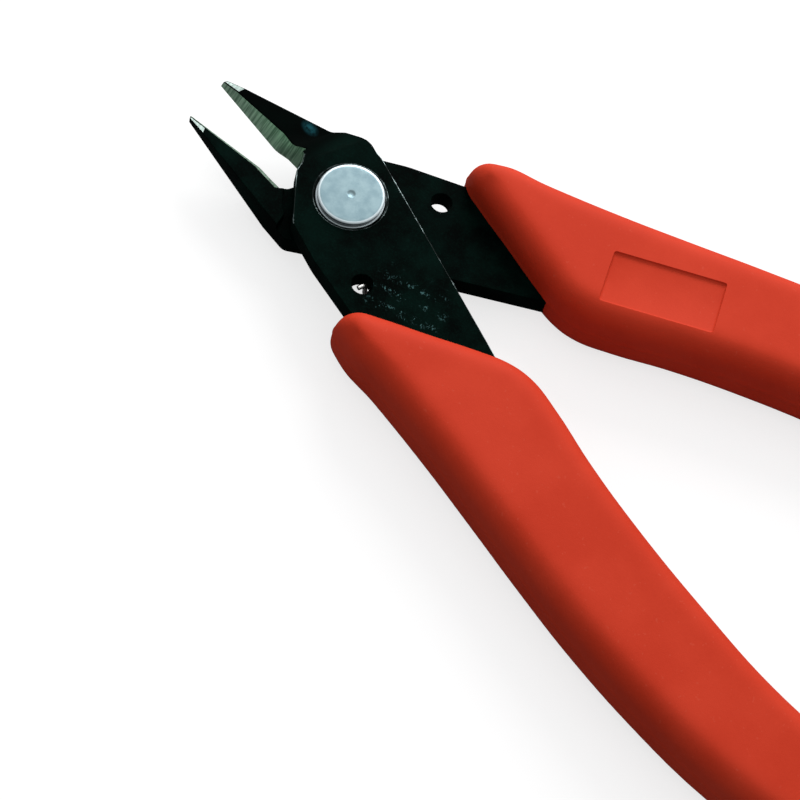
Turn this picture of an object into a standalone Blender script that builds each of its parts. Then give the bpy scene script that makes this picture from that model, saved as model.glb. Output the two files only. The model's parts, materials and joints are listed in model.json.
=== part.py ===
"""Flush cutter for electronics work: two stamped blades on one rivet, sprung open, with soft grips.

Each half is laid out with the jaws closed: the pivot axis at the origin, +X towards the tips,
the cutting edge on y = 0. The halves then turn by HALF_OPEN each way about the pivot, which is
how the tool rests on its spring. The underside of the grips is z = 0.
"""
import math

import bmesh
import bpy
from mathutils import Matrix, Vector

MM = 0.001
GAP = 0.3                 # running and seating gap between neighbouring pieces

# Levels, in mm above the bench
GRIP_HEIGHT = 10.6
PARTING = GRIP_HEIGHT / 2
PLATE = 3.0               # half of the lapped stack, gap included
STACK_TOP = PARTING + PLATE
STACK_BOTTOM = PARTING - PLATE

# Pivot, in mm; PIVOT_X centres the open tool on the origin
PIVOT_X = 40.2
HALF_OPEN = math.radians(7.5)
HEAD_RADIUS = 4.25
HEAD_PROUD = 0.7
HEAD_CHAMFER = 0.35
SEAT_RADIUS = HEAD_RADIUS + 0.4
SEAT_DEPTH = 0.5
SHANK_RADIUS = 2.4
TAIL_RADIUS = 3.4
TAIL_PROUD = 0.4
TAIL_SEAT_RADIUS = TAIL_RADIUS + 0.4
TAIL_CHAMFER = 0.28
DIMPLE_RADIUS = 0.45
DIMPLE_DEPTH = 0.25

# Jaws, in mm
TIP_X = 22.8
EDGE_CLEARANCE = 0.03     # each cutting edge stops this far from the middle when closed
LAP_RADIUS = 8.2          # outside this radius a jaw may use the other blade's level
LAP_X = 6.0
FLUSH_START_X = 8.0
FLUSH_SLOPE = 0.27
BEVEL_END_X = TIP_X + 2.0
WEDGE_HEIGHT = 7.5
# Ground bevels: (x, y at the flush face, sideways run for each unit of height). The upper
# one is steeper and stops short of the blade's body; the lower one runs on round the notch.
BEVEL_UPPER = [(8.9, -0.75, 0.16), (12.4, -EDGE_CLEARANCE, 0.35), (BEVEL_END_X, -EDGE_CLEARANCE, 0.35)]
BEVEL_LOWER = [(6.8, 1.4, 0.62), (7.6, 0.2, 0.62), (8.8, -0.7, 0.62),
               (12.4, -EDGE_CLEARANCE, 0.62), (BEVEL_END_X, -EDGE_CLEARANCE, 0.62)]
RAMP_ANGLE = math.radians(-19.4)
RAMP_TOP = 6.6            # distance of the ramp's top edge from the pivot, along RAMP_ANGLE
RAMP_FOOT = 10.1
JAW_TOP_ROOT = -1.9       # jaw's top face at the ramp's foot, below the top of the stack
JAW_TOP_TIP = -0.8
FACET_LENGTH = 3.1
FACET_DROP = 0.45
FACET_HEEL = 0.6          # how far the facet cutter leans back above the jaw
RAMP_BACK = 1.0           # the ramp cutter starts this far behind the ramp's top edge
RAMP_RISE = 0.57          # and this far above it, so it leaves the seat's rim alone

# Cutters, in mm
OVERCUT = 1.0             # how far a cutter passes through what it cuts
CLEAR = 3.0               # how far a cutter stands clear of a face it leaves alone
CUT_END_X = 30.0          # past the tips
LOWER_CUT_START_X = -2.0
FLUSH_CUT_START_X = 2.0
FLUSH_CUT_DEPTH = 5.0
JAW_HALF_WIDTH = 12.0
HANDLE_END_X = -110.0
SIDE_Y = 40.0

# Small hole in each blade, where the return spring can be anchored
ANCHOR_HOLE = (-9.5, 7.65)
ANCHOR_RADIUS = 1.35

# Blade outline, jaws closed: (x, y, corner radius)
BLADE_JAW = [
    (TIP_X, -EDGE_CLEARANCE, 0.0), (12.4, -EDGE_CLEARANCE, 3.0), (10.6, -0.6, 1.2),
    (8.6, -0.75, 0.8), (7.5, 0.9, 0.8), (7.1, 2.4, 1.0), (2.2, 8.0, 0.8),
]
BLADE_OUTER = [(-3.4, 9.85, 8.0), (-10.9, 11.45, 8.0), (-18.0, 12.8, 8.0), (-31.0, 14.8, 20.0),
               (-46.0, 17.3, 20.0), (-62.0, 19.5, 20.0), (-78.0, 20.0, 20.0), (-93.0, 17.6, 2.5)]
BLADE_INNER = [(-93.0, 12.4, 2.5), (-78.0, 12.6, 20.0), (-62.0, 11.2, 20.0), (-46.0, 8.4, 20.0),
               (-36.0, 5.9, 8.0), (-28.0, 2.8, 6.0), (1.2, -6.95, 2.0)]
SHOULDER_UPPER = [(2.4, -7.12, 1.2), (3.5, -7.47, 1.2), (5.3, -7.47, 2.0), (7.45, -7.0, 0.8),
                  (8.9, -5.82, 1.5), (22.4, -0.8, 0.15)]
SHOULDER_LOWER = [(2.5, -7.4, 1.6), (4.3, -8.1, 1.5), (7.6, -6.8, 2.0), (22.5, -0.95, 0.15)]

# Grip outline, jaws closed; a smooth curve through these points
GRIP_OUTLINE = [
    (-13.2, 14.75), (-10.5, 13.1), (-11.3, 11.2), (-14.0, 9.5), (-19.2, 6.8), (-25.4, 3.5),
    (-28.8, 1.95), (-32.4, 1.4), (-37.4, 2.3), (-44.6, 4.3), (-53.5, 6.2), (-66.0, 8.1),
    (-78.0, 9.3), (-90.0, 8.9), (-99.0, 7.9), (-104.6, 10.4), (-105.1, 15.2), (-100.4, 18.9),
    (-91.0, 21.6), (-80.0, 22.9), (-69.5, 22.8), (-58.3, 21.8), (-48.8, 20.3), (-39.0, 18.5),
    (-29.9, 16.9), (-20.0, 15.5),
]
GRIP_EDGE = 3.0
GRIP_EDGE_SEGMENTS = 4

# Return spring, jaws open: a bent wire from the upper blade's hole to the lower blade's edge
WIRE_RADIUS = 0.3
WIRE_LEVEL = PARTING - GAP / 2 - GAP - WIRE_RADIUS
HOOK_LEVEL = 7.3          # the hook lies across the hole, inside the upper blade
SPRING_HOOK = [(-8.15, 9.15, HOOK_LEVEL), (-8.45, 8.4, HOOK_LEVEL), (-8.6, 8.2, HOOK_LEVEL - 0.4),
               (-8.7, 8.15, HOOK_LEVEL - 1.1), (-8.75, 8.1, WIRE_LEVEL + 0.7)]
SPRING_LEG = [(-8.9, 7.7), (-9.3, 6.7), (-10.1, 5.2), (-11.4, 3.9), (-12.9, 3.0), (-14.5, 2.2),
              (-15.9, 1.9)]

COLOURS = {
    "black_oxide": ((0.012, 0.020, 0.019), 0.42, 0.9),
    "zinc_steel": ((0.62, 0.66, 0.68), 0.3, 1.0),
    "spring_wire": ((0.45, 0.45, 0.44), 0.3, 1.0),
    "red_grip": ((0.60, 0.065, 0.03), 0.55, 0.0),
}


def clear_scene():
    for obj in list(bpy.data.objects):
        bpy.data.objects.remove(obj, do_unlink=True)


def new_collection(name):
    group = bpy.data.collections.new(name)
    bpy.context.scene.collection.children.link(group)
    return group


def material(name):
    colour, roughness, metallic = COLOURS[name]
    mat = bpy.data.materials.get(name)
    if mat is None:
        mat = bpy.data.materials.new(name)
        mat.use_nodes = True
        shader = mat.node_tree.nodes["Principled BSDF"]
        shader.inputs["Base Color"].default_value = (*colour, 1.0)
        shader.inputs["Roughness"].default_value = roughness
        shader.inputs["Metallic"].default_value = metallic
        mat.diffuse_color = (*colour, 1.0)
    return mat


def fillet(corners, step=math.radians(12)):
    """A closed outline with each corner rounded to its own radius by an arc."""
    outline = []
    count = len(corners)
    for i, (x, y, radius) in enumerate(corners):
        here = Vector((x, y))
        before = Vector(corners[i - 1][:2]) - here
        after = Vector(corners[(i + 1) % count][:2]) - here
        opening = before.angle(after)
        if radius <= 0.0 or opening > math.pi - 0.01:
            outline.append(here)
            continue
        reach = radius / math.tan(opening / 2)
        limit = 0.45 * min(before.length, after.length)
        if reach > limit:
            reach = limit
            radius = reach * math.tan(opening / 2)
        start = here + before.normalized() * reach
        end = here + after.normalized() * reach
        middle = (before.normalized() + after.normalized()).normalized()
        centre = here + middle * (radius / math.sin(opening / 2))
        turn = math.pi - opening
        pieces = max(1, math.ceil(turn / step))
        first = start - centre
        side = 1.0 if first.cross(end - centre) > 0 else -1.0
        for k in range(pieces + 1):
            angle = side * turn * k / pieces
            outline.append(centre + Matrix.Rotation(angle, 2) @ first)
    return [(p.x, p.y) for p in outline]


def link(name, mesh, group):
    obj = bpy.data.objects.new(name, mesh)
    group.objects.link(obj)
    return obj


def curve_to_mesh(curve_obj, name, group):
    """The curve's filled solid as a welded mesh object; the curve is removed."""
    bpy.context.view_layer.update()
    shape = curve_obj.evaluated_get(bpy.context.evaluated_depsgraph_get())
    mesh = bpy.data.meshes.new_from_object(shape)
    obj = link(name, mesh, group)
    obj.matrix_world = curve_obj.matrix_world.copy()
    bpy.data.objects.remove(curve_obj, do_unlink=True)
    bm = bmesh.new()
    bm.from_mesh(mesh)
    bmesh.ops.remove_doubles(bm, verts=bm.verts, dist=1e-6)
    bmesh.ops.dissolve_limit(bm, angle_limit=0.001, verts=[], edges=bm.edges)
    bmesh.ops.recalc_face_normals(bm, faces=bm.faces)
    bm.to_mesh(mesh)
    bm.free()
    return obj


def plate(name, outline, low, high, group, smooth=False, resolution=4):
    """A flat outline in mm, extruded from low to high."""
    curve = bpy.data.curves.new(name, "CURVE")
    curve.dimensions = "2D"
    curve.fill_mode = "BOTH"
    curve.extrude = (high - low) / 2 * MM
    spline = curve.splines.new("BEZIER" if smooth else "POLY")
    if smooth:
        curve.resolution_u = resolution
        spline.bezier_points.add(len(outline) - 1)
        for point, (x, y) in zip(spline.bezier_points, outline):
            point.co = (x * MM, y * MM, 0)
            point.handle_left_type = "AUTO"
            point.handle_right_type = "AUTO"
    else:
        spline.points.add(len(outline) - 1)
        for point, (x, y) in zip(spline.points, outline):
            point.co = (x * MM, y * MM, 0, 1)
    spline.use_cyclic_u = True
    obj = link(name + "_curve", curve, group)
    obj.location.z = (low + high) / 2 * MM
    return curve_to_mesh(obj, name, group)


def apply_transform(obj):
    bpy.context.view_layer.update()
    obj.data.transform(obj.matrix_world)
    obj.matrix_world = Matrix.Identity(4)


def box(name, low, high, group):
    bm = bmesh.new()
    bmesh.ops.create_cube(bm, size=1.0)
    size = Vector(high) - Vector(low)
    bmesh.ops.scale(bm, vec=size * MM, verts=bm.verts)
    bmesh.ops.translate(bm, vec=(Vector(low) + Vector(high)) / 2 * MM, verts=bm.verts)
    mesh = bpy.data.meshes.new(name)
    bm.to_mesh(mesh)
    bm.free()
    return link(name, mesh, group)


def cylinder(name, radius, low, high, group, centre=(0.0, 0.0), sides=48):
    bm = bmesh.new()
    bmesh.ops.create_cone(bm, cap_ends=True, segments=sides, radius1=radius * MM,
                          radius2=radius * MM, depth=(high - low) * MM)
    middle = Vector((centre[0], centre[1], (low + high) / 2)) * MM
    bmesh.ops.translate(bm, vec=middle, verts=bm.verts)
    mesh = bpy.data.meshes.new(name)
    bm.to_mesh(mesh)
    bm.free()
    return link(name, mesh, group)


def side_prism(name, profile, half_width, group, turn=0.0):
    """A prism along Y from an (x, z) outline in mm, turned about the pivot."""
    obj = plate(name, profile, -half_width, half_width, group)
    apply_transform(obj)
    stand_up = Matrix.Rotation(math.pi / 2, 4, "X")
    obj.data.transform(Matrix.Rotation(turn, 4, "Z") @ stand_up)
    return obj


def cut(obj, cutter):
    cutter.hide_render = True
    cutter.display_type = "WIRE"
    modifier = obj.modifiers.new(cutter.name, "BOOLEAN")
    modifier.operation = "DIFFERENCE"
    modifier.solver = "EXACT"
    modifier.object = cutter


def flush_height(x):
    """Height of the ground flush face at x, in mm above the bench."""
    return STACK_BOTTOM + FLUSH_SLOPE * (x - FLUSH_START_X)


def between(stations, x):
    """The (y, run) of a bevel at x, taken between its stations."""
    for (x0, *first), (x1, *second) in zip(stations, stations[1:]):
        if x <= x1:
            share = (x - x0) / (x1 - x0)
            return [a + (b - a) * share for a, b in zip(first, second)]
    return stations[-1][1:]


def bevel_cutter(name, stations, group):
    """Wedge above the ground bevel that leaves the cutting edge; it follows the flush face."""
    start, end = stations[0][0], stations[-1][0]
    wedge = box(name, (start, 0, 0), (end, CLEAR, WEDGE_HEIGHT), group)
    bm = bmesh.new()
    bm.from_mesh(wedge.data)
    for station in stations[1:-1]:
        everything = bm.verts[:] + bm.edges[:] + bm.faces[:]
        bmesh.ops.bisect_plane(bm, geom=everything, plane_co=(station[0] * MM, 0, 0),
                               plane_no=(1, 0, 0))
    for vert in bm.verts:
        x, far, z = vert.co / MM
        y, run = between(stations, x)
        y += far if far > CLEAR / 2 else -run * z
        vert.co = Vector((x, y, z + flush_height(x))) * MM
    bmesh.ops.triangulate(bm, faces=bm.faces)
    bm.to_mesh(wedge.data)
    bm.free()
    return wedge


def blade_outline(upper):
    shoulder = SHOULDER_UPPER if upper else SHOULDER_LOWER
    return fillet(BLADE_JAW + BLADE_OUTER + BLADE_INNER + shoulder)


def cut_lap(obj, upper, cutters):
    """Halves the plate's thickness where it crosses the other blade."""
    low = STACK_BOTTOM - OVERCUT if upper else PARTING - GAP / 2
    high = PARTING + GAP / 2 if upper else STACK_TOP + OVERCUT
    cut(obj, cylinder(obj.name + "_lap_round", LAP_RADIUS, low, high, cutters, sides=72))
    cut(obj, box(obj.name + "_lap", (HANDLE_END_X, -SIDE_Y, low), (LAP_X, SIDE_Y, high), cutters))


def cut_jaw(obj, upper, cutters):
    """Thins the jaw from above and below and grinds its cutting bevel and tip facet."""
    root = STACK_TOP + JAW_TOP_ROOT
    tip = STACK_TOP + JAW_TOP_TIP
    slope = (tip - root) / (TIP_X - RAMP_FOOT)
    above = STACK_TOP + CLEAR
    far = (CUT_END_X, root + slope * (CUT_END_X - RAMP_FOOT))
    if upper:
        behind = RAMP_TOP - RAMP_BACK
        top = [(RAMP_TOP, STACK_TOP), (RAMP_FOOT, root), far, (CUT_END_X, above),
               (behind, above), (behind, STACK_TOP + RAMP_RISE)]
    else:
        near = LOWER_CUT_START_X
        top = [(near, root + slope * (near - RAMP_FOOT)), far, (CUT_END_X, above), (near, above)]
    cut(obj, side_prism(obj.name + "_jaw_top", top, CUT_END_X, cutters, RAMP_ANGLE))
    below = STACK_BOTTOM - FLUSH_CUT_DEPTH
    flush = [(FLUSH_CUT_START_X, flush_height(FLUSH_CUT_START_X)),
             (CUT_END_X, flush_height(CUT_END_X)), (CUT_END_X, below), (FLUSH_CUT_START_X, below)]
    cut(obj, side_prism(obj.name + "_flush", flush, JAW_HALF_WIDTH, cutters))
    stations = BEVEL_UPPER if upper else BEVEL_LOWER
    cut(obj, bevel_cutter(obj.name + "_edge_bevel", stations, cutters))
    end = TIP_X + OVERCUT
    facet = [(TIP_X - FACET_LENGTH, tip - FACET_LENGTH * slope), (end, tip - FACET_DROP),
             (end, STACK_TOP + OVERCUT), (TIP_X - FACET_LENGTH - FACET_HEEL, STACK_TOP + OVERCUT)]
    cut(obj, side_prism(obj.name + "_tip_facet", facet, JAW_HALF_WIDTH, cutters))


def cut_holes(obj, upper, cutters):
    """Bores the pivot, the recess for the rivet's head or tail, and the spring's hole."""
    through = (-OVERCUT, GRIP_HEIGHT + OVERCUT)
    cut(obj, cylinder(obj.name + "_bore", SHANK_RADIUS + GAP, *through, cutters, sides=36))
    if upper:
        seat = (SEAT_RADIUS, STACK_TOP - SEAT_DEPTH, STACK_TOP + OVERCUT)
    else:
        seat = (TAIL_SEAT_RADIUS, STACK_BOTTOM - OVERCUT, STACK_BOTTOM + SEAT_DEPTH)
    cut(obj, cylinder(obj.name + "_seat", *seat, cutters))
    cut(obj, cylinder(obj.name + "_hole", ANCHOR_RADIUS, *through, cutters, ANCHOR_HOLE, 24))


def blade(name, upper, parts, cutters):
    """One stamped half, jaws closed, handle on the +Y side and jaw on the -Y side."""
    obj = plate(name, blade_outline(upper), STACK_BOTTOM, STACK_TOP, parts)
    apply_transform(obj)
    cut_lap(obj, upper, cutters)
    cut_jaw(obj, upper, cutters)
    cut_holes(obj, upper, cutters)
    obj.data.materials.append(material("black_oxide"))
    return obj


def grip(name, upper, parts, cutters):
    """A soft sleeve with a pocket for the blade's tang, open at the front."""
    obj = plate(name, GRIP_OUTLINE, 0, GRIP_HEIGHT, parts, smooth=True)
    apply_transform(obj)
    edge = obj.modifiers.new("soft_edges", "BEVEL")
    edge.width = GRIP_EDGE * MM
    edge.segments = GRIP_EDGE_SEGMENTS
    edge.limit_method = "ANGLE"
    edge.angle_limit = math.radians(60)
    edge.use_clamp_overlap = False
    low = (PARTING + GAP / 2 if upper else STACK_BOTTOM) - GAP
    high = (STACK_TOP if upper else PARTING - GAP / 2) + GAP
    cut(obj, plate(name + "_pocket", grow(blade_outline(upper), GAP), low, high, cutters))
    obj.data.materials.append(material("red_grip"))
    return obj


def grow(outline, amount):
    """The outline moved outwards by amount."""
    count = len(outline)
    area = sum(outline[i - 1][0] * outline[i][1] - outline[i][0] * outline[i - 1][1]
               for i in range(count))
    side = 1.0 if area > 0 else -1.0
    moved = []
    for i, (x, y) in enumerate(outline):
        along = Vector(outline[(i + 1) % count]) - Vector(outline[i - 1])
        normal = Vector((along.y, -along.x)).normalized() * side * amount
        moved.append((x + normal.x, y + normal.y))
    return moved


def rivet(parts):
    """Turned rivet: chamfered head with a centre dimple, shank and peened tail."""
    top = STACK_TOP + HEAD_PROUD
    seat = STACK_TOP - SEAT_DEPTH + GAP
    tail = STACK_BOTTOM - TAIL_PROUD
    tail_seat = STACK_BOTTOM + SEAT_DEPTH - GAP
    profile = [
        (0.0, top - DIMPLE_DEPTH), (DIMPLE_RADIUS, top), (HEAD_RADIUS - HEAD_CHAMFER, top),
        (HEAD_RADIUS, top - HEAD_CHAMFER), (HEAD_RADIUS, seat), (SHANK_RADIUS, seat),
        (SHANK_RADIUS, tail_seat), (TAIL_RADIUS, tail_seat), (TAIL_RADIUS, tail + TAIL_CHAMFER),
        (TAIL_RADIUS - TAIL_CHAMFER, tail), (0.0, tail),
    ]
    mesh = bpy.data.meshes.new("pivot_rivet")
    bm = bmesh.new()
    verts = [bm.verts.new((x * MM, 0, z * MM)) for x, z in profile]
    for a, b in zip(verts, verts[1:]):
        bm.edges.new((a, b))
    bm.to_mesh(mesh)
    bm.free()
    obj = link("pivot_rivet", mesh, parts)
    turn = obj.modifiers.new("turned", "SCREW")
    turn.steps = 48
    turn.render_steps = 48
    turn.use_merge_vertices = True
    turn.merge_threshold = 0.00001
    obj.data.materials.append(material("zinc_steel"))
    return obj


def spring(parts):
    """Bent wire: hooked up into the upper blade, lying along the lower blade's inner edge."""
    route = SPRING_HOOK + [(x, y, WIRE_LEVEL) for x, y in SPRING_LEG]
    curve = bpy.data.curves.new("return_spring", "CURVE")
    curve.dimensions = "3D"
    curve.bevel_depth = WIRE_RADIUS * MM
    curve.bevel_resolution = 2
    curve.use_fill_caps = True
    spline = curve.splines.new("POLY")
    spline.points.add(len(route) - 1)
    for point, (x, y, z) in zip(spline.points, route):
        point.co = (x * MM, y * MM, z * MM, 1)
    obj = curve_to_mesh(link("return_spring_curve", curve, parts), "return_spring", parts)
    obj.data.materials.append(material("spring_wire"))
    return obj


def half_empty(name, turn, group):
    empty = bpy.data.objects.new(name, None)
    empty.location = (PIVOT_X * MM, 0, 0)
    empty.rotation_euler = (0, 0, turn)
    group.objects.link(empty)
    return empty


def smooth(obj, degrees=30):
    obj.data.shade_smooth()
    obj.data.set_sharp_from_angle(angle=math.radians(degrees))


def mirror_half(objects):
    """Turns a half over the tool's middle line, so its handle is on the -Y side."""
    flip = Matrix.Scale(-1, 4, (0, 1, 0))
    for obj in objects:
        obj.data.transform(flip)
        obj.data.flip_normals()


def build():
    clear_scene()
    parts = new_collection("flush_cutter")
    cutters = new_collection("cutters")
    upper = [blade("upper_blade", True, parts, cutters), grip("front_grip", True, parts, cutters)]
    lower = [blade("lower_blade", False, parts, cutters), grip("rear_grip", False, parts, cutters)]
    lower_tools = [m.object for obj in lower for m in obj.modifiers if m.type == "BOOLEAN"]
    for tool in cutters.objects:
        apply_transform(tool)
    mirror_half(lower + lower_tools)
    pivot = half_empty("pivot_axis", 0.0, parts)
    upper_half = half_empty("upper_half", -HALF_OPEN, parts)
    lower_half = half_empty("lower_half", HALF_OPEN, parts)
    for obj in upper + [t for t in cutters.objects if t not in lower_tools]:
        obj.parent = upper_half
    for obj in lower + lower_tools:
        obj.parent = lower_half
    for obj in (rivet(parts), spring(parts)):
        obj.parent = pivot
        smooth(obj)
    for obj in upper + lower:
        smooth(obj)
    bpy.context.view_layer.update()


build()
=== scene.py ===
import json
import math

import bmesh
import bpy
import numpy as np
from mathutils import Matrix, Vector


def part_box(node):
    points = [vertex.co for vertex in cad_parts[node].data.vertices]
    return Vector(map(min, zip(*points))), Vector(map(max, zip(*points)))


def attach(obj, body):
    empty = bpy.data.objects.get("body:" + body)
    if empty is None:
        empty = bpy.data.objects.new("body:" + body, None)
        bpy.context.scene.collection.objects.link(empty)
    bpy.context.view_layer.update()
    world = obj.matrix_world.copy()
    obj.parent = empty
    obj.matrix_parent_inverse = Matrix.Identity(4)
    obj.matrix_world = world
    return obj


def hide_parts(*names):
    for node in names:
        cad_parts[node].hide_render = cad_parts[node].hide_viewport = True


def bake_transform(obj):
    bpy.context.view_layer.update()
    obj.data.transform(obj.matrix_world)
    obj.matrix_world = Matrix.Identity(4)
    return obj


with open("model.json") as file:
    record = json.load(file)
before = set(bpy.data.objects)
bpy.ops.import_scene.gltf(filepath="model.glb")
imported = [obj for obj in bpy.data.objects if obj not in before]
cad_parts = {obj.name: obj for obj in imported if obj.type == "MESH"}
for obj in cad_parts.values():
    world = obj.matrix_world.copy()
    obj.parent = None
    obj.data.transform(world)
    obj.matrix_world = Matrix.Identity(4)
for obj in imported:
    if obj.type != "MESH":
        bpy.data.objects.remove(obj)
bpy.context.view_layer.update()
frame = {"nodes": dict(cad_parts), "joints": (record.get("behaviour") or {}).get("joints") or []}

MM = 0.001

# The pivot and how far each half stands open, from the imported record
HINGE = frame["joints"][0]
PIVOT = Vector(HINGE["pos_m"])
HALF_OPEN = math.radians(HINGE["range_deg"][1]) / 2
GRIP_LOW, GRIP_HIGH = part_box("front_grip")
PARTING = PIVOT.z
BLADE_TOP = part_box("upper_blade")[1].z
HEAD_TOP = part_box("pivot_rivet")[1].z
TAIL_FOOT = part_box("pivot_rivet")[0].z

# The rivet: its burnished rim, and the groove under its head darkened with painted shade, in mm above
# the parting level
RIVET_STEEL = ((0.115, 0.175, 0.20), (0.20, 0.275, 0.295))
RIM_RADII = (3.84, 4.02)
RIM_STEEL = (0.50, 0.56, 0.58)
NECK_RADII = (3.9, 4.0)
NECK_PAINTED_SHADE = (0.01, 0.016, 0.016)
NECK_LOW = (BLADE_TOP - PARTING) / MM - 0.13
NECK_HIGH = (HEAD_TOP - PARTING) / MM - 0.11

# Grip outline with the jaws closed, in mm from the pivot, handle on the +Y side
GRIP_OUTLINE = [
    (-13.2, 14.75), (-10.5, 13.1), (-11.3, 11.2), (-14.0, 9.5), (-19.2, 6.8), (-25.4, 3.5),
    (-28.8, 1.95), (-32.4, 1.4), (-37.4, 2.3), (-44.6, 4.3), (-53.5, 6.2), (-66.0, 8.1),
    (-78.0, 9.3), (-90.0, 8.9), (-99.0, 7.9), (-104.6, 10.4), (-105.1, 15.2), (-100.4, 18.9),
    (-91.0, 21.6), (-80.0, 22.9), (-69.5, 22.8), (-58.3, 21.8), (-48.8, 20.3), (-39.0, 18.5),
    (-29.9, 16.9), (-20.0, 15.5),
]
GRIP_EDGE = 3.0
GRIP_VOXEL = 0.36
SEAM_PROUD = 0.08
LIP_BACK = 0.8                  # how far the outer front corner leans back at its top
LIP_ALONG = (-17.5, -11.0)
LIP_ACROSS = (10.0, 13.5)
PANEL = [(-31.5, -10.6), (-32.8, -3.3), (-47.0, -7.2), (-45.6, -14.5)]
PANEL_DEPTH = 0.35

# Return spring, jaws open, in mm from the pivot and above the bench
WIRE_RADIUS = 0.3
WIRE = [(-8.15, 9.15, 7.3), (-8.45, 8.4, 7.3), (-8.6, 8.2, 6.9), (-8.7, 8.15, 6.2),
        (-8.75, 8.1, 5.25), (-8.9, 7.7, 4.55), (-9.3, 6.7, 4.55), (-10.1, 5.2, 4.55),
        (-11.4, 3.9, 4.55), (-12.9, 3.0, 4.55), (-14.5, 2.2, 4.55), (-15.9, 1.9, 4.55)]

# Blades, jaws closed, in mm from the pivot
EDGE_WEAR = 0.11
CORNER = math.radians(38)       # a sharper turn than this is a corner to be broken
RUB_DEPTH = 0.7                 # hands and cloths reach this far below the upper blade's top
SEAT_RIM = (4.2, 5.1)           # between these radii lies the rim of the rivet's seat
NOSE = (6.2, 9.4)               # and between these the rounded front above the other jaw
INNER_EDGE = (1.2, -6.3, 0.334)  # a point just outside the edge, and the edge's slope
INNER_EDGE_END = 2.6
BEVEL_START = 6.0
BEVEL_STEEL = ((0.085, 0.165, 0.11), (0.42, 0.60, 0.46))
FACET_LENGTH = 3.4
FACET_STEEL = ((0.20, 0.26, 0.24), (0.44, 0.52, 0.49))
SEAT_RADIUS = 5.0
GRIND_SLANT = 0.14              # how far the grinding lines lean along the jaw for each mm of rise
STAMP_TURN = math.radians(159.7)  # turns the rows of stamping to lie along X
STAMP_FIELD = ((7.7, -13.1), (16.9, -6.5))
ROW_PITCH = 2.1
# Painted reflection: a teal sheen is painted into the upper jaw's colour round this spot
PAINTED_SHEEN_SPOT = (10.9, -4.1)
JAW_ROOT = (6.0, 8.5)           # painted shade: the upper jaw's top is darkened between these distances

# Camera, in metres, and its three axes
CAMERA_PLACE = (-0.017863, 0.136064, 0.249254)
CAMERA_RIGHT = (-0.79525185, -0.58385461, 0.1633655)
CAMERA_UP = (0.59075622, -0.68564562, 0.42532008)
CAMERA_BACK = (-0.13631424, 0.43474577, 0.89017669)
CAMERA_LENS = 102.63

# Studio light: the dome is brightest in this direction
DOME_TOWARDS = (0.10, -0.62, 0.78)
DOME_SPREAD = (-0.6, 0.95)
DOME_STRENGTH = 1.06
DOME_STOPS = [(0.0, (0.10, 0.10, 0.11, 1.0)), (0.5, (0.34, 0.35, 0.36, 1.0)),
              (1.0, (1.0, 1.0, 1.0, 1.0))]
KEY_PLACE = (0.137, -0.269, 0.197)
KEY_SIZE = 0.20
KEY_POWER = 0.9
KEY_AIM = (0.01, 0.0, 0.005)


# ---------------------------------------------------------------- modelling

def pick(obj):
    """Only this object selected and active, in object mode."""
    if bpy.context.object and bpy.context.object.mode != "OBJECT":
        bpy.ops.object.mode_set(mode="OBJECT")
    bpy.ops.object.select_all(action="DESELECT")
    obj.select_set(True)
    bpy.context.view_layer.objects.active = obj


def open_mesh(obj, mode):
    """Edit mode with nothing selected."""
    pick(obj)
    bpy.ops.object.mode_set(mode="EDIT")
    bpy.ops.mesh.select_mode(type=mode)
    bpy.ops.mesh.select_all(action="DESELECT")


def close_mesh():
    """Back to object mode."""
    bpy.ops.object.mode_set(mode="OBJECT")


def name_new(name):
    """Names the object that an operator has just added, and its mesh."""
    obj = bpy.context.object
    obj.name = name
    obj.data.name = name
    return obj


def modify(obj, kind, **settings):
    """Adds a modifier and applies it at once."""
    modifier = obj.modifiers.new(kind.lower(), kind)
    for key, value in settings.items():
        setattr(modifier, key, value)
    pick(obj)
    bpy.ops.object.modifier_apply(modifier=modifier.name)


def settle(obj):
    """Leaves the object at the origin, unturned and unscaled, with its place in its mesh."""
    pick(obj)
    bpy.ops.object.transform_apply(location=True, rotation=True, scale=True)


def half_turn(upper):
    """From a half laid out with the jaws closed to where it stands open."""
    side = 1.0 if upper else -1.0
    turn = Matrix.Rotation(-side * HALF_OPEN, 4, "Z")
    place = Matrix.Translation(Vector((PIVOT.x, PIVOT.y, 0.0)))
    return place @ turn @ Matrix.Diagonal((1.0, side, 1.0, 1.0))


def smooth(obj, degrees):
    """Smooth shading, with creases where faces meet at more than this angle."""
    pick(obj)
    bpy.ops.object.shade_smooth_by_angle(angle=math.radians(degrees))


def frame_copy(node, name):
    """A welded copy of a frame node, free of the frame, with flat faces made whole."""
    piece = bpy.data.objects.new(name, frame["nodes"][node].data.copy())
    piece.data.name = name
    bpy.context.scene.collection.objects.link(piece)
    piece.data.materials.clear()
    open_mesh(piece, "VERT")
    bpy.ops.mesh.select_all(action="SELECT")
    bpy.ops.mesh.remove_doubles(threshold=2e-6)
    bpy.ops.mesh.customdata_custom_splitnormals_clear()
    bpy.ops.mesh.dissolve_limited(angle_limit=math.radians(0.4))
    close_mesh()
    return piece


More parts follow.
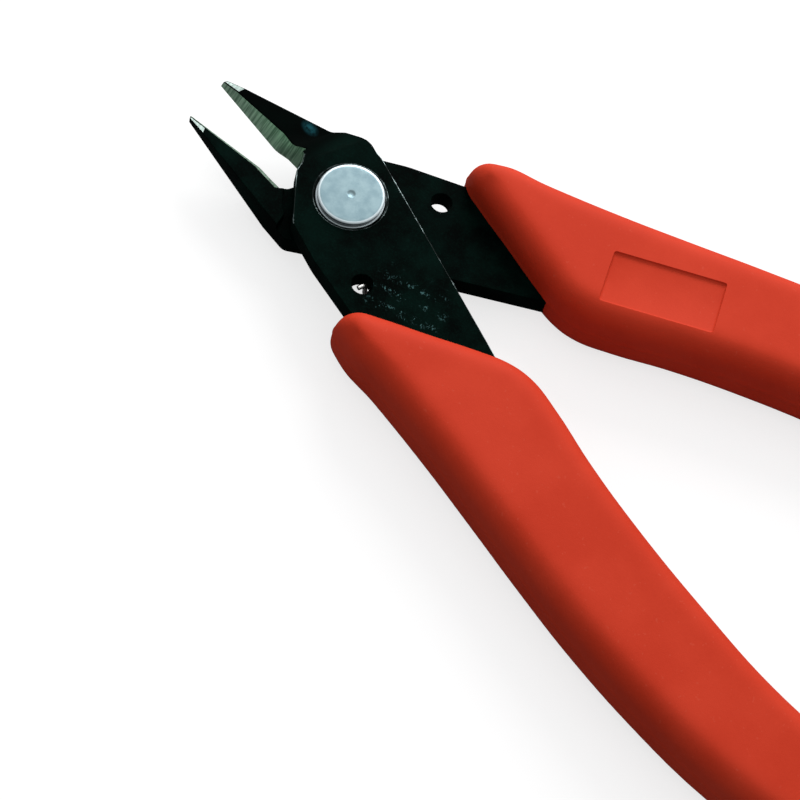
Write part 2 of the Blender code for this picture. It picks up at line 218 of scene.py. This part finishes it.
def turned(name, profile, steps=96):
    """A lathe piece about the pivot's axis from (radius, height) points in mm."""
    bpy.ops.object.select_all(action="DESELECT")
    bpy.ops.mesh.primitive_plane_add(size=MM, location=(PIVOT.x, PIVOT.y, 0.0))
    obj = name_new(name)
    open_mesh(obj, "VERT")
    cage = bmesh.from_edit_mesh(obj.data)
    cage.verts.ensure_lookup_table()
    for vert in cage.verts[1:]:
        vert.select_set(True)
    bmesh.update_edit_mesh(obj.data)
    bpy.ops.mesh.delete(type="VERT")
    cage = bmesh.from_edit_mesh(obj.data)
    cage.verts.ensure_lookup_table()
    cage.verts[0].co = Vector((profile[0][0] * MM, 0.0, profile[0][1] * MM))
    cage.verts[0].select_set(True)
    bmesh.update_edit_mesh(obj.data)
    for here, there in zip(profile, profile[1:]):
        step = Vector((there[0] - here[0], 0.0, there[1] - here[1])) * MM
        bpy.ops.mesh.extrude_region_move(TRANSFORM_OT_translate={"value": step})
    bpy.ops.mesh.select_all(action="SELECT")
    bpy.ops.mesh.spin(steps=steps, angle=math.tau, center=(PIVOT.x, PIVOT.y, 0.0), axis=(0, 0, 1))
    bpy.ops.mesh.select_all(action="SELECT")
    bpy.ops.mesh.remove_doubles(threshold=2e-6)
    bpy.ops.mesh.normals_make_consistent(inside=False)
    close_mesh()
    settle(obj)
    return obj


# ---------------------------------------------------------------- finishes

class Value:
    """A shader socket that adds Math nodes when it is used in a sum."""

    def __init__(self, finish, socket):
        self.finish = finish
        self.socket = socket

    def math(self, operation, *others):
        node = self.finish.node("ShaderNodeMath", {"operation": operation}, self, *others)
        return Value(self.finish, node.outputs[0])

    def turned_math(self, operation, other):
        node = self.finish.node("ShaderNodeMath", {"operation": operation}, other, self)
        return Value(self.finish, node.outputs[0])

    def __add__(self, other):
        return self.math("ADD", other)

    def __radd__(self, other):
        return self.turned_math("ADD", other)

    def __sub__(self, other):
        return self.math("SUBTRACT", other)

    def __rsub__(self, other):
        return self.turned_math("SUBTRACT", other)

    def __mul__(self, other):
        return self.math("MULTIPLY", other)

    def __rmul__(self, other):
        return self.turned_math("MULTIPLY", other)

    def ramp(self, low, high):
        """0 below low, 1 above high, smooth between."""
        node = self.finish.node("ShaderNodeMapRange", {"interpolation_type": "SMOOTHSTEP"},
                                self, low, high, 0.0, 1.0)
        return Value(self.finish, node.outputs[0])


class Finish:
    """A material made of nodes round one Principled shader."""

    def __init__(self, name, **constants):
        self.material = bpy.data.materials.new(name)
        self.material.use_nodes = True
        self.tree = self.material.node_tree
        self.shader = self.tree.nodes["Principled BSDF"]
        for key, value in constants.items():
            self.shader.inputs[key.replace("_", " ")].default_value = value
        place = self.node("ShaderNodeTexCoord")
        self.place = place.outputs["Object"]

    def node(self, kind, settings=None, *inputs, **named):
        """Any node: its settings first, then the values or links of its sockets."""
        node = self.tree.nodes.new(kind)
        for key, value in (settings or {}).items():
            setattr(node, key, value)
        for index, value in enumerate(inputs):
            self.feed(node.inputs[index], value)
        for key, value in named.items():
            self.feed(node.inputs[key.replace("_", " ")], value)
        return node

    def feed(self, socket, value):
        """Links a socket, or sets it to a constant."""
        if isinstance(value, Value):
            value = value.socket
        if isinstance(value, bpy.types.NodeSocket):
            self.tree.links.new(value, socket)
        else:
            socket.default_value = value

    def mapped(self, scale=(1.0, 1.0, 1.0), turn=0.0):
        """Object coordinates in mm about the pivot, turned about Z, then stretched."""
        centred = self.node("ShaderNodeMapping", {"vector_type": "POINT"}, self.place,
                            Location=(-PIVOT.x, -PIVOT.y, -PIVOT.z))
        turned_place = self.node("ShaderNodeMapping", {"vector_type": "POINT"}, centred.outputs[0],
                                 Rotation=(0.0, 0.0, turn), Scale=[1000.0] * 3)
        return self.node("ShaderNodeMapping", {"vector_type": "POINT"}, turned_place.outputs[0],
                         Scale=scale).outputs[0]

    def noise(self, where, size, detail=3.0, roughness=0.55, distortion=0.0):
        """Noise from 0 to 1 with features about size mm across."""
        node = self.node("ShaderNodeTexNoise", None, Vector=where, Scale=1.0 / size,
                         Detail=detail, Roughness=roughness, Distortion=distortion)
        return Value(self, node.outputs[0])

    def axis(self, where, name):
        """One coordinate of a place."""
        node = self.node("ShaderNodeSeparateXYZ", None, where)
        return Value(self, node.outputs[name])

    def radius(self, where):
        """Distance in mm from the pivot's axis."""
        flat = self.node("ShaderNodeVectorMath", {"operation": "MULTIPLY"}, where, (1.0, 1.0, 0.0))
        length = self.node("ShaderNodeVectorMath", {"operation": "LENGTH"}, flat.outputs[0])
        return Value(self, length.outputs["Value"])

    def blend(self, factor, first, second):
        """Colour between two colours or colour sockets."""
        node = self.node("ShaderNodeMix", {"data_type": "RGBA"})
        self.feed(node.inputs["Factor"], factor)
        for key, value in (("A", first), ("B", second)):
            socket = [s for s in node.inputs if s.name == key and s.type == "RGBA"][0]
            if isinstance(value, tuple):
                value = (*value, 1.0)[:4]
            self.feed(socket, value)
        return [s for s in node.outputs if s.type == "RGBA"][0]

    def bump(self, height, depth, strength):
        """Relief with heights of 0 to 1 standing depth mm proud."""
        node = self.node("ShaderNodeBump", None, Strength=strength, Distance=depth * MM,
                         Height=height)
        return node.outputs[0]

    def set(self, **sockets):
        """Feeds the shader's own sockets and gives the finished material."""
        for key, value in sockets.items():
            self.feed(self.shader.inputs[key.replace("_", " ")], value)
        return self.material


def black_oxide(name, turn, scuffs=None, sheen_spot=None):
    """Black oxide over stamped steel: green-black, speckled and scuffed, with painted shade on the
    upper jaw's top and a painted teal reflection near its root.
    """
    finish = Finish(name, Specular_IOR_Level=0.008)
    where = finish.mapped()
    cloud = finish.noise(where, 5.0, 4.0)
    fleck = finish.noise(where, 0.22, 2.0)
    grain = finish.noise(where, 0.07, 2.0)
    rolled = finish.noise(finish.mapped((0.12, 2.6, 1.0), turn), 0.5, 3.0)
    tone = cloud.ramp(0.35, 0.7) * 0.6 + fleck.ramp(0.45, 0.75) * 0.4
    colour = finish.blend(tone, (0.0001, 0.0008, 0.0006), (0.0011, 0.0088, 0.0064))
    rough = 0.40 + 0.10 * cloud + 0.12 * fleck
    relief = grain * 0.5 + rolled * 0.3 + fleck * 0.2
    if sheen_spot:
        spot = finish.mapped((1.0, 1.0, 0.0), turn)
        # painted shade: the upper jaw's top is darkened
        jaw = finish.axis(spot, "X").ramp(*JAW_ROOT)
        colour = finish.blend(jaw * 0.8, colour, (0.0001, 0.0005, 0.0004))
        # painted reflection: a teal sheen is painted round the spot near the jaw's root
        across = finish.axis(spot, "X") - sheen_spot[0]
        down = finish.axis(spot, "Y") - sheen_spot[1]
        reach = (across * across + down * down * 2.2).math("SQRT")
        patch = (1 - reach.ramp(0.1, 1.5)) * finish.noise(where, 0.7, 3.0).ramp(0.25, 0.6)
        colour = finish.blend(patch * 0.8, colour, (0.012, 0.085, 0.105))
    if scuffs:
        low, high = scuffs
        spot = finish.mapped((1.0, 1.0, 0.0), turn + STAMP_TURN)
        x = finish.axis(spot, "X")
        y = finish.axis(spot, "Y")
        inside = (x.ramp(low[0] - 0.8, low[0] + 0.8) * (1 - x.ramp(high[0] - 0.8, high[0] + 0.8))
                  * y.ramp(low[1] - 0.8, low[1] + 0.8) * (1 - y.ramp(high[1] - 0.8, high[1] + 0.8)))
        rows = (y * (math.tau / ROW_PITCH)).math("SINE").ramp(-0.5, 0.6)
        group = finish.noise(where, 1.5, 1.0).ramp(0.44, 0.60)
        marks = finish.noise(where, 0.45, 1.0, distortion=1.5).ramp(0.56, 0.66) * rows * group * inside
        colour = finish.blend(marks, colour, (0.045, 0.11, 0.11))
        rough = rough - 0.12 * marks
        relief = relief - marks * 1.4
    return finish.set(Base_Color=colour, Roughness=rough,
                      Normal=finish.bump(relief, 0.02, 0.6))


def worn_edge(name):
    """The oxide rubbed through to bright steel along corners, in patches."""
    finish = Finish(name, Specular_IOR_Level=0.1)
    where = finish.mapped()
    patch = finish.noise(where, 3.2, 3.0).ramp(0.42, 0.60)
    nick = finish.noise(where, 0.35, 2.0).ramp(0.38, 0.62)
    bare = patch * (0.35 + 0.65 * nick)
    colour = finish.blend(bare, (0.001, 0.006, 0.005), (0.26, 0.33, 0.33))
    return finish.set(Base_Color=colour, Metallic=bare, Roughness=0.5 - 0.12 * nick,
                      Normal=finish.bump(nick, 0.02, 0.5))


def ground_bevel(name, turn, dark, light):
    """Ground steel with grinding lines running across it."""
    finish = Finish(name)
    where = finish.mapped((1.0, 0.05, 1.0), turn)
    level = finish.axis(where, "Z")
    slant = finish.axis(where, "X") + level * GRIND_SLANT
    along = finish.node("ShaderNodeCombineXYZ", None, slant, finish.axis(where, "Y"),
                        level * 0.05).outputs[0]
    lines = finish.noise(along, 0.30, 2.0, 0.6)
    fine = finish.noise(along, 0.07, 2.0)
    broad = finish.noise(along, 1.3, 2.0)
    mottle = finish.noise(finish.mapped(), 0.6, 3.0)
    tone = lines.ramp(0.36, 0.64) * 0.65 + fine * 0.1 + broad.ramp(0.35, 0.65) * 0.25
    colour = finish.blend(tone, dark, light)
    return finish.set(Base_Color=colour, Metallic=0.92 - 0.1 * mottle,
                      Roughness=0.36 + 0.22 * lines + 0.08 * mottle,
                      Normal=finish.bump(lines * 0.7 + fine * 0.3, 0.035, 0.8))


def turned_steel(name, dark, light, roughness):
    """Bright plated steel with fine rings left by turning."""
    finish = Finish(name, Metallic=1.0)
    where = finish.mapped()
    radius = finish.radius(where)
    ring = finish.node("ShaderNodeCombineXYZ", None, radius, 0.0, 0.0).outputs[0]
    rings = finish.noise(ring, 0.10, 3.0, 0.6)
    cloud = finish.noise(where, 1.7, 4.0)
    pit = finish.noise(where, 0.16, 2.0)
    scratch = finish.noise(finish.mapped((0.06, 1.6, 1.0), 0.7), 0.22, 2.0).ramp(0.66, 0.74)
    tone = cloud.ramp(0.3, 0.72) * 0.6 + rings * 0.25 + pit * 0.15
    colour = finish.blend(tone, dark, light)
    colour = finish.blend(radius.ramp(*RIM_RADII) * 0.8, colour, RIM_STEEL)
    height = finish.axis(where, "Z")
    # painted shade: the groove under the head is darkened
    neck_shade = height.ramp(NECK_LOW, NECK_LOW + 0.08) * (1 - height.ramp(NECK_HIGH - 0.1, NECK_HIGH))
    colour = finish.blend(neck_shade * radius.ramp(*NECK_RADII), colour, NECK_PAINTED_SHADE)
    rough = roughness + 0.12 * cloud + 0.10 * rings - 0.06 * scratch
    relief = rings * 0.55 + pit * 0.3 - scratch * 0.25
    return finish.set(Base_Color=colour, Roughness=rough, Normal=finish.bump(relief, 0.02, 0.55))


def drawn_wire():
    """Bright spring wire, faintly clouded, with a fine grain."""
    finish = Finish("drawn_wire", Metallic=1.0)
    where = finish.mapped()
    cloud = finish.noise(where, 1.1, 3.0)
    fine = finish.noise(where, 0.08, 2.0)
    colour = finish.blend(cloud.ramp(0.35, 0.7), (0.55, 0.53, 0.50), (0.86, 0.87, 0.86))
    return finish.set(Base_Color=colour, Roughness=0.24 + 0.16 * fine,
                      Normal=finish.bump(fine, 0.012, 0.5))


def soft_grip(name):
    """Soft moulded vinyl: matte, faintly grained, clouded in tone with scattered lighter specks."""
    finish = Finish(name, Specular_IOR_Level=0.10)
    where = finish.mapped()
    cloud = finish.noise(where, 9.0, 4.0)
    skin = finish.noise(where, 0.34, 4.0, 0.6)
    grain = finish.noise(where, 0.12, 2.0)
    speck = finish.noise(where, 0.5, 1.0).ramp(0.70, 0.76)
    tone = cloud.ramp(0.3, 0.72) * 0.6 + skin * 0.4
    colour = finish.blend(tone, (0.52, 0.032, 0.010), (0.60, 0.046, 0.018))
    colour = finish.blend(speck * 0.25, colour, (0.62, 0.09, 0.05))
    rough = 0.56 + 0.10 * skin + 0.06 * cloud
    relief = skin * 0.55 + grain * 0.45
    return finish.set(Base_Color=colour, Roughness=rough, Normal=finish.bump(relief, 0.045, 0.55))


def pale_floor():
    """A pale sweep whose glow doesn't light the tool, so it stays white without pale bounce."""
    finish = Finish("pale_floor", Roughness=0.9, Specular_IOR_Level=0.1, Emission_Strength=0.74)
    cloud = finish.noise(finish.mapped(), 60.0, 2.0)
    seen = finish.node("ShaderNodeLightPath").outputs["Is Camera Ray"]
    return finish.set(Base_Color=finish.blend(cloud, (0.31, 0.31, 0.31), (0.33, 0.33, 0.33)),
                      Emission_Color=finish.blend(seen, (0.0, 0.0, 0.0), (1.0, 1.0, 1.0)))


# ---------------------------------------------------------------- pieces

OXIDE, WORN, BEVEL, FACET = range(4)


def rubbed(spot, upper):
    """Whether a corner at this spot, jaws closed and in mm, is one that hands and cloths reach."""
    if not upper or spot.z < BLADE_TOP / MM - RUB_DEPTH:
        return False
    reach = math.hypot(spot.x, spot.y)
    ring = SEAT_RIM[0] < reach < SEAT_RIM[1]
    along, outside, slope = INNER_EDGE
    inner = spot.y < (along - spot.x) * slope + outside and spot.x < INNER_EDGE_END
    front = NOSE[0] < reach < NOSE[1] and spot.x > 2.0 and spot.y > -1.3
    return ring or inner or front


def mark_corners(piece):
    """Weights for the corners that are broken; the cutting edges stay sharp."""
    cage = bmesh.new()
    cage.from_mesh(piece.data)
    weight = cage.edges.layers.float.new("bevel_weight_edge")
    for edge in cage.edges:
        ground = any(face.material_index == BEVEL for face in edge.link_faces)
        under = any(face.normal.z < -0.5 for face in edge.link_faces)
        corner = edge.calc_face_angle(0.0) > CORNER
        edge[weight] = 1.0 if corner and not (ground and under) else 0.0
    cage.to_mesh(piece.data)
    cage.free()


def blade(node, body, upper):
    """A blade with its corners broken, its bevel and facets ground bright."""
    piece = frame_copy(node, node + "_ground")
    to_closed = half_turn(upper).inverted()
    turn = HALF_OPEN if upper else -HALF_OPEN
    scuffs = STAMP_FIELD if upper else None
    # the upper blade carries a painted teal reflection and painted shade on its jaw
    sheen_spot = PAINTED_SHEEN_SPOT if upper else None
    piece.data.materials.append(black_oxide(node + "_oxide", turn, scuffs, sheen_spot))
    piece.data.materials.append(worn_edge(node + "_rubbed"))
    piece.data.materials.append(ground_bevel(node + "_bevel", turn, *BEVEL_STEEL))
    piece.data.materials.append(ground_bevel(node + "_facet", turn, *FACET_STEEL))
    tip_x = max((to_closed @ v.co).x for v in piece.data.vertices)
    for face in piece.data.polygons:
        normal = to_closed.to_3x3() @ face.normal
        centre = (to_closed @ face.center) / MM
        if normal.y > 0.6 and normal.z > -0.1 and centre.x > BEVEL_START:
            face.material_index = BEVEL
        elif normal.z > 0.9 and centre.x > tip_x / MM - FACET_LENGTH:
            face.material_index = FACET
        elif normal.z < -0.9 and normal.x > 0.1:
            face.material_index = FACET
        elif upper and centre.xy.length < SEAT_RADIUS and BLADE_TOP / MM - centre.z > 0.1:
            face.material_index = WORN
    mark_corners(piece)
    modify(piece, "BEVEL", width=EDGE_WEAR * MM, segments=2, limit_method="WEIGHT",
           use_clamp_overlap=False, material=WORN)
    for face in piece.data.polygons:
        if face.material_index == WORN and not rubbed(to_closed @ face.center / MM, upper):
            face.material_index = OXIDE
    smooth(piece, 32)
    modify(piece, "WEIGHTED_NORMAL", keep_sharp=True)
    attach(piece, body)
    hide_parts(node)


def rivet():
    """Turned rivet: chamfered head with a dimple, a collar under it, and a closed tail."""
    top = HEAD_TOP / MM
    foot = TAIL_FOOT / MM
    seat = BLADE_TOP / MM - 0.2
    profile = [
        (0.0, top - 0.10), (0.18, top - 0.095), (0.34, top - 0.06), (0.46, top - 0.015),
        (0.54, top), (0.66, top), (1.9, top), (3.6, top), (3.96, top), (4.10, top - 0.015),
        (4.19, top - 0.05), (4.24, top - 0.10), (4.25, top - 0.15), (4.20, top - 0.20),
        (4.02, top - 0.26), (3.98, seat + 0.12), (4.02, seat + 0.06), (4.24, seat + 0.05),
        (4.34, seat + 0.01), (4.37, seat - 0.06), (4.37, seat - 0.22),
        (2.4, seat - 0.24), (2.4, foot + 0.62), (3.4, foot + 0.6), (3.4, foot + 0.28),
        (3.3, foot + 0.1), (3.12, foot), (1.5, foot), (1.36, foot + 0.12), (1.0, foot + 0.2),
        (0.0, foot + 0.22),
    ]
    piece = turned("rivet_turned", profile)
    piece.data.materials.append(turned_steel("rivet_plate", *RIVET_STEEL, 0.30))
    smooth(piece, 25)
    modify(piece, "WEIGHTED_NORMAL", keep_sharp=True)
    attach(piece, "upper_half")
    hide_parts("pivot_rivet")


def wire_spot(index):
    """Where one of the wire's points lies, in metres."""
    x, y, z = WIRE[index]
    return Vector((PIVOT.x + x * MM, PIVOT.y + y * MM, z * MM))


def spring():
    """Bent wire from the hole in the upper blade to the lower blade's inner edge."""
    bpy.ops.object.select_all(action="DESELECT")
    bpy.ops.curve.primitive_nurbs_path_add(location=(0, 0, 0))
    wire = name_new("spring_wire")
    wire.data.splines.clear()
    spline = wire.data.splines.new("NURBS")
    spline.points.add(len(WIRE) - 1)
    for index, point in enumerate(spline.points):
        point.co = (*wire_spot(index), 1.0)
    spline.order_u = 3
    spline.use_endpoint_u = True
    spline.resolution_u = 8
    wire.data.bevel_depth = WIRE_RADIUS * MM
    wire.data.bevel_resolution = 4
    wire.data.use_fill_caps = True
    pick(wire)
    bpy.ops.object.convert(target="MESH")
    wire = bpy.context.object
    open_mesh(wire, "VERT")
    bpy.ops.mesh.select_all(action="SELECT")
    bpy.ops.mesh.remove_doubles(threshold=2e-6)
    bpy.ops.mesh.normals_make_consistent(inside=False)
    close_mesh()
    modify(wire, "BEVEL", width=0.07 * MM, segments=2, limit_method="ANGLE",
           angle_limit=math.radians(60))
    settle(wire)
    wire.data.materials.append(drawn_wire())
    smooth(wire, 40)
    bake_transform(wire)
    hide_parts("return_spring")


def eased(value, low, high):
    """0 below low, 1 above high, smooth between."""
    part = min(max((value - low) / (high - low), 0.0), 1.0)
    return part * part * (3.0 - 2.0 * part)


def draw_lip_back(obj, upper):
    """Leans the sleeve's outer front corner back towards its top."""
    to_closed = half_turn(upper).inverted()
    back = half_turn(upper).to_3x3() @ Vector((-LIP_BACK * MM, 0.0, 0.0))
    for vert in obj.data.vertices:
        spot = to_closed @ vert.co / MM
        ahead = eased(spot.x, *LIP_ALONG)
        out = eased(spot.y, *LIP_ACROSS)
        high = eased(vert.co.z, PARTING, GRIP_HIGH.z - MM)
        vert.co += back * (ahead * out * high)


def sleeve_blank(name, upper):
    """The grip's outline drawn as a smooth closed curve, filled, raised and rounded."""
    bpy.ops.object.select_all(action="DESELECT")
    bpy.ops.curve.primitive_bezier_circle_add(radius=MM, location=(0, 0, 0))
    obj = name_new(name)
    line = obj.data.splines[0]
    line.bezier_points.add(len(GRIP_OUTLINE) - len(line.bezier_points))
    obj.data.resolution_u = 8
    for point, (x, y) in zip(line.bezier_points, GRIP_OUTLINE):
        point.co = (x * MM, y * MM, 0.0)
        point.handle_left_type = "AUTO"
        point.handle_right_type = "AUTO"
    pick(obj)
    bpy.ops.object.convert(target="MESH")
    obj = bpy.context.object
    obj.matrix_world = half_turn(upper)
    settle(obj)
    open_mesh(obj, "EDGE")
    bpy.ops.mesh.select_all(action="SELECT")
    bpy.ops.mesh.edge_face_add()
    raised = Vector((0.0, 0.0, GRIP_HIGH.z - GRIP_LOW.z))
    bpy.ops.mesh.extrude_region_move(TRANSFORM_OT_translate={"value": raised})
    bpy.ops.mesh.select_all(action="SELECT")
    bpy.ops.mesh.normals_make_consistent(inside=False)
    close_mesh()
    modify(obj, "BEVEL", width=GRIP_EDGE * MM, segments=8, limit_method="ANGLE",
           angle_limit=math.radians(60), use_clamp_overlap=False)
    modify(obj, "REMESH", mode="VOXEL", voxel_size=GRIP_VOXEL * MM, adaptivity=0.0)
    draw_lip_back(obj, upper)
    modify(obj, "SMOOTH", factor=0.5, iterations=22)
    return obj


def raise_seam(obj):
    """Lifts the fine moulding line that runs round the sleeve at the parting level."""
    count = len(obj.data.vertices)
    spots = np.empty(count * 3)
    obj.data.vertices.foreach_get("co", spots)
    spots = spots.reshape(-1, 3)
    normals = np.empty(count * 3)
    obj.data.vertices.foreach_get("normal", normals)
    normals = normals.reshape(-1, 3)
    wall = np.abs(normals[:, 2]) < 0.3
    levels = np.round(spots[wall, 2] / (GRIP_VOXEL * MM) * 2) / 2 * GRIP_VOXEL * MM
    level = levels[np.argmin(np.abs(levels - PARTING))]
    close = np.exp(-((spots[:, 2] - level) / (0.2 * MM)) ** 2)
    spots += normals * (wall * close * SEAM_PROUD * MM)[:, None]
    obj.data.vertices.foreach_set("co", spots.ravel())
    obj.data.update()


def subtract(obj, tool):
    """Cuts the tool out of the object and throws the tool away."""
    modify(obj, "BOOLEAN", operation="DIFFERENCE", solver="EXACT", object=tool)
    bpy.data.objects.remove(tool, do_unlink=True)


def panel_tool():
    """A slanted four-sided block, standing where the maker's panel is sunk."""
    bpy.ops.object.select_all(action="DESELECT")
    bpy.ops.mesh.primitive_cube_add(size=2 * MM, location=(0, 0, 0))
    obj = name_new("panel_tool")
    low = GRIP_HIGH.z - PANEL_DEPTH * MM
    open_mesh(obj, "VERT")
    cage = bmesh.from_edit_mesh(obj.data)
    turn = Matrix.Rotation(HALF_OPEN, 4, "Z")
    corners = [turn @ Vector((x * MM, y * MM, 0.0)) for x, y in PANEL]
    for vert in cage.verts:
        quarter = [(True, True), (True, False), (False, False), (False, True)]
        corner = corners[quarter.index((vert.co.x > 0, vert.co.y < 0))]
        height = GRIP_HIGH.z + MM if vert.co.z > 0 else low
        vert.co = Vector((PIVOT.x + corner.x, PIVOT.y + corner.y, height))
    bmesh.update_edit_mesh(obj.data)
    bpy.ops.mesh.select_all(action="SELECT")
    bpy.ops.mesh.normals_make_consistent(inside=False)
    close_mesh()
    modify(obj, "BEVEL", width=0.35 * MM, segments=3, affect="EDGES", limit_method="ANGLE",
           angle_limit=math.radians(30))
    return obj


def grip(node, body, blade_node, upper):
    """A soft sleeve moulded over the tang."""
    piece = sleeve_blank(node + "_sleeve", upper)
    raise_seam(piece)
    tang = frame_copy(blade_node, blade_node + "_core")
    modify(tang, "DISPLACE", strength=0.04 * MM, mid_level=0.0)
    subtract(piece, tang)
    if not upper:
        subtract(piece, panel_tool())
    piece.data.materials.clear()
    piece.data.materials.append(soft_grip(node + "_vinyl"))
    for face in piece.data.polygons:
        face.material_index = 0
    smooth(piece, 35)
    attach(piece, body)
    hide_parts(node)


# ---------------------------------------------------------------- studio

def floor():
    """The bench sweep, just under the grips."""
    bpy.ops.object.select_all(action="DESELECT")
    bpy.ops.mesh.primitive_plane_add(size=4.0, location=(0, 0, -0.05 * MM))
    obj = name_new("floor")
    settle(obj)
    obj.data.materials.append(pale_floor())


def studio_light():
    """A dome that is bright above and behind the tool and falls off towards the front."""
    world = bpy.data.worlds.new("studio")
    bpy.context.scene.world = world
    world.use_nodes = True
    tree = world.node_tree
    ground = tree.nodes["Background"]
    place = tree.nodes.new("ShaderNodeTexCoord")
    facing = tree.nodes.new("ShaderNodeVectorMath")
    facing.operation = "DOT_PRODUCT"
    facing.inputs[1].default_value = Vector(DOME_TOWARDS).normalized()
    tree.links.new(place.outputs["Generated"], facing.inputs[0])
    ramp = tree.nodes.new("ShaderNodeValToRGB")
    stops = ramp.color_ramp.elements
    stops.new(DOME_STOPS[1][0])
    for stop, (position, colour) in zip(stops, DOME_STOPS):
        stop.position = position
        stop.color = colour
    spread = tree.nodes.new("ShaderNodeMapRange")
    spread.inputs["From Min"].default_value = DOME_SPREAD[0]
    spread.inputs["From Max"].default_value = DOME_SPREAD[1]
    tree.links.new(facing.outputs["Value"], spread.inputs["Value"])
    tree.links.new(spread.outputs["Result"], ramp.inputs["Fac"])
    tree.links.new(ramp.outputs["Color"], ground.inputs["Color"])
    ground.inputs["Strength"].default_value = DOME_STRENGTH


def softbox(name, where, size, power, towards):
    """A round area lamp turned towards a place."""
    bpy.ops.object.select_all(action="DESELECT")
    bpy.ops.object.light_add(type="AREA", location=where)
    lamp = name_new(name)
    lamp.data.shape = "DISK"
    lamp.data.size = size
    lamp.data.energy = power
    aim = Vector(towards) - Vector(where)
    lamp.rotation_euler = aim.to_track_quat("-Z", "Y").to_euler()


def camera():
    """The bench camera, above the tool and out beyond the front grip."""
    bpy.ops.object.select_all(action="DESELECT")
    bpy.ops.object.camera_add(location=CAMERA_PLACE)
    cam = name_new("bench_camera")
    turn = Matrix((CAMERA_RIGHT, CAMERA_UP, CAMERA_BACK)).transposed().to_4x4()
    cam.matrix_world = Matrix.Translation(cam.location) @ turn
    cam.data.lens = CAMERA_LENS
    cam.data.sensor_width = 36.0
    cam.data.clip_start = 0.01
    bpy.context.scene.camera = cam


camera()
studio_light()
softbox("key_softbox", KEY_PLACE, KEY_SIZE, KEY_POWER, KEY_AIM)
floor()
blade("upper_blade", "upper_half", True)
blade("lower_blade", "lower_half", False)
rivet()
spring()
grip("front_grip", "upper_half", "upper_blade", True)
grip("rear_grip", "lower_half", "lower_blade", False)
bpy.context.scene.view_settings.view_transform = "Standard"
